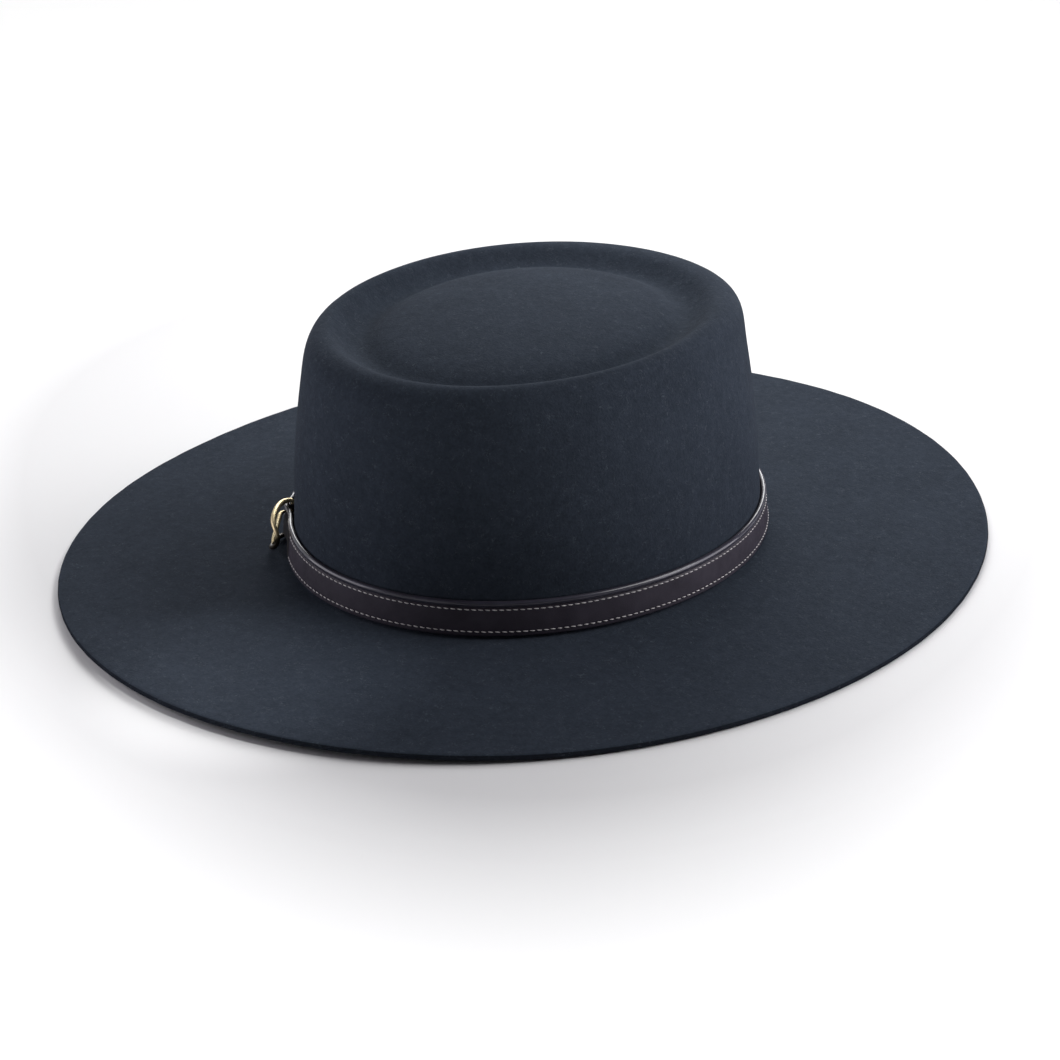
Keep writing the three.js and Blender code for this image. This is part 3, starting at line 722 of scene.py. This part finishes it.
def strap_stations():
    """Rows of x, y, angle, thickness and half width, from the folded end round to the tip."""
    level = BAND_TOP - BAND_HALF
    rows = [(angle_at(a), out, thick, half) for a, out, thick, half in FOLDED_END]
    turn = HEEL_RADIUS + HEEL_GAP + SKIVED / 2
    for swing in np.linspace(math.pi / 2, -math.pi / 2, HEEL_STATIONS):
        out = HEEL_OUT + turn * math.sin(swing)
        rows.append((angle_at(turn * math.cos(swing)), out, SKIVED, BUCKLE_HALF))
    rows += [(angle_at(a), out, thick, half) for a, out, thick, half in FIRST_LAP]
    start = angle_at(FIRST_LAP[-1][0])
    end = angle_at(TIP_LAP[0][0]) - 2 * math.pi
    for angle in np.linspace(start, end, ROUND_STATIONS)[1:-1]:
        half = BAND_HALF if angle < start - WIDEN_TURN else BUCKLE_HALF
        rows.append((angle, GAP + BAND_THICK / 2, BAND_THICK, half))
    rows += [(angle_at(a) - 2 * math.pi, out, thick, half) for a, out, thick, half in TIP_LAP]
    return [
        (*beside_crown(angle, out, level)[:2], angle, thick, half)
        for angle, out, thick, half in rows
    ]


def strap_path():
    """The stations of strap_stations, smoothed and close together."""
    rows = np.array(strap_stations())
    path = through_points(rows, distances_along(rows[:, :2]), STRAP_STEP)
    path[:, 3:] = np.clip(path[:, 3:], (SKIVED, TIP_HALF), (BAND_THICK, BAND_HALF))
    return path


def strap_section(thick, half):
    """The leather's outline across the strap for every station: x out of the face and y up."""
    thick = np.asarray(thick, float)[:, None]
    half = np.asarray(half, float)[:, None]
    narrow = np.minimum(1, half / BUCKLE_HALF)
    thin = thick / BAND_THICK
    top_in, top_out = np.array(BEAD).T
    low_in, low_out = np.array(LIP).T
    back_in, back_out = np.array(BACK_EDGE).T
    x = np.concatenate([
        thick / 2 + top_out * thin,
        thick / 2 + low_out[::-1] * thin,
        -thick / 2 + back_out * thin,
        -thick / 2 + back_out[::-1] * thin,
    ], 1)
    y = np.concatenate([
        half - top_in * narrow,
        low_in[::-1] * narrow - half,
        back_in * narrow - half,
        half - back_in[::-1] * narrow,
    ], 1)
    return x, y


def strap_frame(path):
    """For every station of the path: the direction across the leather and the lean out."""
    runs = unit(np.gradient(path[:, :2], axis=0))
    return quarter_turn(runs), outward_at(path[:, 2])


def strap_points(path, x, y):
    """The places of sections' points, with x out of the face and y up at every station."""
    across, lean = strap_frame(path)
    level = BAND_TOP - BAND_HALF
    z = band_height(path[:, 2])[:, None] + y
    points = across[:, None] * x[..., None]
    points = points + lean[:, None] * (flare_at(z) - flare_at(level))[..., None]
    points[..., :2] += path[:, None, :2]
    points[..., 2] = z
    return points


def inside_buckle(angles):
    """Whether angles along the tip's lap are inside the buckle."""
    along = np.interp(angles + 2 * math.pi, FOOT_ANGLES, FOOT_LENGTHS)
    return (along > INSIDE_BUCKLE[0]) & (along < INSIDE_BUCKLE[1])


def strap_piece(leather):
    """The band: one strap from its folded end round the crown to its pointed tip."""
    path = strap_path()
    rings = strap_points(path, *strap_section(path[:, 3], path[:, 4]))
    piece = swept_piece("band_leather", rings, leather)
    piece.data.materials.append(leather_material("bead_leather", BEAD_GLOSS, *BEAD_COLOURS))
    piece.data.materials.append(leather_material("buckle_shade_leather", BUCKLE_SHADE_GLOSS, *BUCKLE_SHADE_COLOURS))
    columns = rings.shape[1]
    # The tip's lap inside the buckle gets the near-black leather of painted shade
    in_buckle_shade = inside_buckle(path[:, 2])
    for face in piece.data.polygons:
        spots = [i % columns for i in face.vertices]
        if len(spots) == 4 and max(spots) < BEAD_POINTS:
            face.material_index = 1
        elif len(spots) == 4 and in_buckle_shade[face.vertices[0] // columns]:
            face.material_index = 2
    return piece


def stitch_rings():
    """One stitch in its own axes: a short thread that rises out of the leather and dips back."""
    t = np.linspace(-1, 1, STITCH_STEPS)[:, None]
    turn = 2 * math.pi * np.arange(STITCH_SIDES) / STITCH_SIDES
    swell = STITCH_RADIUS * (1 - STITCH_TAPER * np.abs(t) ** TAPER_POWER)
    run = np.broadcast_to(t * STITCH_LENGTH / 2, (STITCH_STEPS, STITCH_SIDES))
    up = t * STITCH_SLANT + swell * np.cos(turn)
    out = STITCH_ARCH * (1 - t * t) - STITCH_SUNK + swell * np.sin(turn)
    return np.stack([run, up, out], -1).reshape(-1, 3)


def stitches_piece():
    """Both rows of stitches, along the part of the strap whose outer face can be seen."""
    path = strap_path()
    shown = path[path[:, 2] < angle_at(STITCHES_START)]
    thick, half = shown[:, 3], shown[:, 4]
    narrow = np.minimum(1, half / BUCKLE_HALF)
    one = stitch_rings()
    quads = grid_faces(STITCH_STEPS, STITCH_SIDES)
    rim = np.arange(STITCH_SIDES)
    ends = np.array([rim[::-1], rim + (STITCH_STEPS - 1) * STITCH_SIDES])
    points, groups, caps = [], [], []
    for side, inset in ((1, TOP_STITCHES), (-1, LOW_STITCHES)):
        y = side * (half - inset * narrow)
        line = strap_points(shown, (thick / 2)[:, None], y[:, None])[:, 0]
        lengths = distances_along(line)
        spots = np.arange(STITCH_PITCH, lengths[-1] - STITCHES_END, STITCH_PITCH)
        at = [np.interp(spots, lengths, line[:, k]) for k in range(3)]
        ahead = [np.interp(spots + 0.5, lengths, line[:, k]) for k in range(3)]
        clear = ~inside_buckle(np.interp(spots, lengths, shown[:, 2]))
        centre = np.stack(at, -1)
        run = unit(np.stack(ahead, -1) - centre)
        out = quarter_turn(run)
        out = unit(out * np.sign((out * centre).sum(1, keepdims=True)))
        up = np.cross(out, run)
        up *= np.sign(up[:, 2:])
        for c, r, u, o in zip(centre[clear], run[clear], up[clear], out[clear]):
            base = sum(len(p) for p in points)
            points.append(c + one[:, :1] * r + one[:, 1:2] * u + one[:, 2:] * o)
            turned = np.dot(np.cross(r, u), o) > 0
            groups.append(base + (quads if turned else quads[:, ::-1]))
            caps.append(base + (ends if turned else ends[:, ::-1]))
    faces = np.concatenate(groups).tolist() + np.concatenate(caps).tolist()
    return mesh_piece("band_stitches", np.concatenate(points), faces, thread_material())


def buckle_axes():
    """The buckle's origin at the heel bar, and its u, w and up directions."""
    origin = beside_crown(angle_at(0), HEEL_OUT, band_height(BUCKLE_ANGLE))
    slope = math.atan(BAND_FLARE / (2 * BAND_HALF))
    flat = outward_at(BUCKLE_ANGLE)
    u = quarter_turn(flat)
    up = np.array([0, 0, math.cos(slope)]) - flat * math.sin(slope)
    return origin, u, np.cross(u, up), up


def buckle_point(u, w, z):
    """A place given in the buckle's axes, in the hat's."""
    origin, along, out, up = BUCKLE_AXES
    return origin + along * u + out * w + up * z


def wire_rings(points, radii, guide, loop=False):
    """Round rings about a wire's line; guide gives a direction across it at each point."""
    points = np.asarray(points, float)
    if loop:
        runs = np.roll(points, -1, 0) - np.roll(points, 1, 0)
    else:
        runs = np.gradient(points, axis=0)
    runs = unit(runs)
    side = unit(np.cross(runs, guide))
    over = np.cross(side, runs)
    turns = 2 * math.pi * np.arange(WIRE_SIDES)[None, :, None] / WIRE_SIDES
    swing = np.cos(turns) * side[:, None] + np.sin(turns) * over[:, None]
    return points[:, None] + swing * np.asarray(radii)[:, None, None]


def frame_line():
    """The frame's line at even steps: places in the buckle's axes and the share of its reach."""
    t = np.linspace(-1, 1, FRAME_SAMPLES)
    angle = -np.sign(t) * math.pi / 2 * (1 - (1 - np.abs(t)) ** 3)
    reach = np.abs(np.cos(angle)) ** (2 / FRAME_POWER)
    across = bent(np.sin(angle), 2 / FRAME_POWER)
    late = np.maximum(0, (reach - DROP_START) / (1 - DROP_START))
    rise = FRAME_BULGE * (1 - (1 - reach) ** BULGE_POWER) ** (1 / BULGE_POWER)
    out = rise - NOSE_DROP * late**DROP_POWER
    line = np.stack([FRAME_LENGTH * reach, out, FRAME_HALF * across, reach], -1)
    lengths = distances_along(line[:, :3])
    at = np.linspace(0, lengths[-1], round(lengths[-1] / WIRE_STEP) + 1)
    return np.stack([np.interp(at, lengths, line[:, k]) for k in range(4)], -1)


def frame_piece():
    """The buckle's frame: a horseshoe wire that arches over the band, with its heel bar."""
    rows = []
    for u, w, z, reach in frame_line():
        radius = ARM_RADIUS + (NOSE_RADIUS - ARM_RADIUS) * reach
        swell = TOP_ARM_SWELL * smooth(z, *SWELL_UP) * smooth(reach, *SWELL_ALONG)
        rows.append((*buckle_point(u, w, z), radius + swell))
    for share in np.linspace(-HEEL_REACH, HEEL_REACH, HEEL_STEPS):
        rows.append((*buckle_point(0, 0, FRAME_HALF * share), HEEL_RADIUS))
    rows = np.array(rows)
    middle = buckle_point(FRAME_LENGTH / 2, -FRAME_LENGTH, 0)
    rings = wire_rings(rows[:, :3], rows[:, 3], rows[:, :3] - middle, loop=True)
    brass, tree, shader, colour = brass_material("brass", *FRAME_COLOURS)
    # The lower half of the frame gets painted shade
    paint_shade_on_low_brass(tree, shader, colour)
    return swept_piece("buckle_wire", rings, brass, loop=True)


def prong_piece():
    """The prong: hooked round the heel bar, through the strap and on to the frame's nose."""
    rows = np.array([(*buckle_point(u, w, z), radius) for u, w, z, radius in PRONG])
    rows = through_points(rows, distances_along(rows[:, :3]), PRONG_STEP)
    tip = rows[-1]
    forward = unit(rows[-1, :3] - rows[-2, :3])
    for share in TIP_SHARES:
        ahead = tip[:3] + forward * tip[3] * share
        rows = np.vstack([rows, [(*ahead, tip[3] * math.sqrt(1 - share**2))]])
    guide = np.tile(BUCKLE_AXES[3], (len(rows), 1))
    rings = wire_rings(rows[:, :3], rows[:, 3], guide)
    # The prong's brass is paler than the frame's, a painted highlight
    brass = brass_material("prong_brass_painted_highlight", *PRONG_HIGHLIGHT_COLOURS)[0]
    return swept_piece("buckle_pin", rings, brass)


def keeper_piece(leather):
    """The keeper: a leather loop with soft corners round both laps of the band."""
    height = band_height(angle_at(KEEPER["along"]))
    inner = BUCKLE_HALF + GAP
    over = 2 * (GAP + BAND_THICK) + GAP
    middle = (GAP + KEEPER["back"] + over) / 2
    half_out = (over - GAP - KEEPER["back"]) / 2
    angle = 2 * math.pi * np.arange(KEEPER_STEPS)[:, None] / KEEPER_STEPS
    x = bent(np.cos(angle), KEEPER_LOOP_POWER)
    y = bent(np.sin(angle), KEEPER_LOOP_POWER)
    turn = 2 * math.pi * np.arange(KEEPER_SIDES)[None] / KEEPER_SIDES
    wide = KEEPER["half"] * bent(np.cos(turn), KEEPER_SIDE_POWER)
    thin = 0.5 + 0.5 * bent(np.sin(turn), KEEPER_EDGE_POWER)
    wall = np.where(x > 0, KEEPER["front"], KEEPER["back"])
    out = middle + x * (half_out + (wall - KEEPER_INSET) * thin)
    z = height + y * (inner + (KEEPER["front"] - KEEPER_INSET) * thin)
    rings = beside_crown(angle_at(KEEPER["along"] + wide), out, z)
    return swept_piece("keeper_leather", rings, leather, loop=True)


def cut_box(piece, u, w, z):
    """Cuts a box given in the buckle's axes out of a piece."""
    corners = [buckle_point(a, b, c) for a in u for b in w for c in z]
    faces = [(0, 1, 3, 2), (4, 6, 7, 5), (0, 4, 5, 1), (2, 3, 7, 6), (0, 2, 6, 4), (1, 5, 7, 3)]
    faces = outward_faces(corners, faces)
    cutter = mesh_piece("cutter", corners, faces, piece.data.materials[0])
    modifier = piece.modifiers.new("cut", "BOOLEAN")
    modifier.operation = "DIFFERENCE"
    modifier.object = cutter
    modifier.solver = "EXACT"
    bpy.context.view_layer.update()
    graph = bpy.context.evaluated_depsgraph_get()
    cut = bpy.data.meshes.new_from_object(piece.evaluated_get(graph))
    piece.modifiers.clear()
    old = piece.data
    piece.data = cut
    bpy.data.meshes.remove(old)
    bpy.data.objects.remove(cutter)


def camera():
    """The camera at the photograph's angle."""
    a, e = CAMERA_AZIMUTH, CAMERA_ELEVATION
    back = Vector((math.sin(a) * math.cos(e), -math.cos(a) * math.cos(e), math.sin(e)))
    level = Vector((math.cos(a), math.sin(a), 0))
    above = back.cross(level)
    right = level * math.cos(CAMERA_ROLL) + above * math.sin(CAMERA_ROLL)
    up = above * math.cos(CAMERA_ROLL) - level * math.sin(CAMERA_ROLL)
    slide = level * CAMERA_SLIDE[0] + above * CAMERA_SLIDE[1]
    place = (Vector(CAMERA_TARGET) + slide + back * CAMERA_DISTANCE) * MM
    data = bpy.data.cameras.new("camera")
    data.sensor_width = SENSOR_WIDTH
    data.sensor_fit = "HORIZONTAL"
    data.lens = FOCAL_PIXELS / IMAGE_PIXELS * SENSOR_WIDTH
    data.clip_end = 50
    made = bpy.data.objects.new("camera", data)
    made.matrix_world = Matrix.Translation(place) @ Matrix((right, up, back)).transposed().to_4x4()
    bpy.context.scene.collection.objects.link(made)
    bpy.context.scene.camera = made


def square_light(name, side, power):
    """The data of a square soft light."""
    data = bpy.data.lights.new(name, "AREA")
    data.shape = "SQUARE"
    data.size = side
    data.energy = power
    return data


def place_light(name, data, turn, lift):
    """Hangs a light that many degrees round from the camera and up, aimed at the hat."""
    azimuth = CAMERA_AZIMUTH + math.radians(turn)
    lift = math.radians(lift)
    level = (math.sin(azimuth) * math.cos(lift), -math.cos(azimuth) * math.cos(lift))
    direction = Vector((*level, math.sin(lift)))
    light = bpy.data.objects.new(name, data)
    light.location = direction * BOX_DISTANCE + Vector((0, 0, AIM_HEIGHT))
    light.rotation_euler = direction.to_track_quat("Z", "Y").to_euler()
    bpy.context.scene.collection.objects.link(light)


def hang_light(name, data, right, far, up):
    """Hangs a light facing down, that many metres to the camera's right, away from it and up."""
    a = CAMERA_AZIMUTH
    light = bpy.data.objects.new(name, data)
    x = right * math.cos(a) - far * math.sin(a)
    y = right * math.sin(a) + far * math.cos(a)
    light.location = (x, y, up)
    bpy.context.scene.collection.objects.link(light)


def glow_distance(tree):
    """How far a place on the floor is from the glow's middle, as the oval's half width there."""
    coordinates = tree.nodes.new("ShaderNodeTexCoord")
    turned = tree.nodes.new("ShaderNodeVectorRotate")
    turned.rotation_type = "Z_AXIS"
    turned.inputs["Angle"].default_value = -CAMERA_AZIMUTH
    tree.links.new(coordinates.outputs["Object"], turned.inputs["Vector"])
    place = tree.nodes.new("ShaderNodeSeparateXYZ")
    tree.links.new(turned.outputs["Vector"], place.inputs["Vector"])
    right = combine(tree, "SUBTRACT", place.outputs["X"], GLOW_MIDDLE[0])
    away = combine(tree, "SUBTRACT", place.outputs["Y"], GLOW_MIDDLE[1])
    near = combine(tree, "MULTIPLY", away, -1 / GLOW_LONGER[0])
    far = combine(tree, "MULTIPLY", away, 1 / GLOW_LONGER[1])
    depth = combine(tree, "MAXIMUM", near, far)
    right_square = combine(tree, "MULTIPLY", right, right)
    depth_square = combine(tree, "MULTIPLY", depth, depth)
    return combine(tree, "SQRT", combine(tree, "ADD", right_square, depth_square))


def studio():
    """The pale floor, the soft lights and the white surroundings."""
    floor_material, tree, shader = new_material("floor")
    shader.inputs["Base Color"].default_value = (*FLOOR_COLOUR, 1)
    shader.inputs["Roughness"].default_value = 0.8
    shader.inputs["Emission Color"].default_value = (1, 1, 1, 1)
    # The glow outside the oval is painted light, leaving a painted shadow round the hat
    glow = remap(tree, glow_distance(tree), GLOW_FROM, GLOW_FULL, 0, GLOW_STRENGTH)
    tree.links.new(glow, shader.inputs["Emission Strength"])
    half = FLOOR_HALF
    corners = [(-half, -half, 0), (half, -half, 0), (half, half, 0), (-half, half, 0)]
    floor = mesh_piece("floor", corners, [(0, 1, 2, 3)], floor_material)
    for name, (turn, lift, strength) in SUNS.items():
        sun = bpy.data.lights.new(name, "SUN")
        sun.energy = strength
        sun.angle = SUN_SPREAD
        place_light(name, sun, turn, lift)
    for name, (turn, lift, power) in BOXES.items():
        box = square_light(name, BOX_SIDE, power)
        box.color = BOX_COLOUR
        place_light(name, box, turn, lift)
    for name, (right, far, up, power) in LAMPS.items():
        hang_light(name, square_light(name, LAMP_SIDE, power), right, far, up)
    right, far, up, power, cone = SPOT
    spot = bpy.data.lights.new("spot", "SPOT")
    spot.energy = power
    spot.spot_size = cone
    spot.spot_blend = 1
    hang_light("spot", spot, right, far, up)
    world = bpy.data.worlds.new("studio")
    bpy.context.scene.world = world
    world.use_nodes = True
    background = world.node_tree.nodes["Background"]
    background.inputs["Color"].default_value = (1, 1, 1, 1)
    background.inputs["Strength"].default_value = WORLD_STRENGTH
    bpy.context.scene.view_settings.view_transform = "Standard"


FOOT_ANGLES, FOOT_LENGTHS = foot_table()
BUCKLE_AXES = buckle_axes()
leather = leather_material("leather", LEATHER_GLOSS, *LEATHER_COLOURS)
felt = felt_piece()
band = strap_piece(leather)
cut_box(band, *SLOT)
cut_box(band, *HOLE)
stitches = stitches_piece()
keeper = keeper_piece(leather)
wire = frame_piece()
prong = prong_piece()
for piece, node, slot in (
    (felt, "felt_body", "felt"),
    (band, "band_strap", "leather"),
    (keeper, "keeper_loop", "leather"),
    (wire, "buckle_frame", "brass"),
    (prong, "buckle_prong", "brass"),
):
    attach(piece, "root")
    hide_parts(node)
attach(stitches, "root")
camera()
studio()
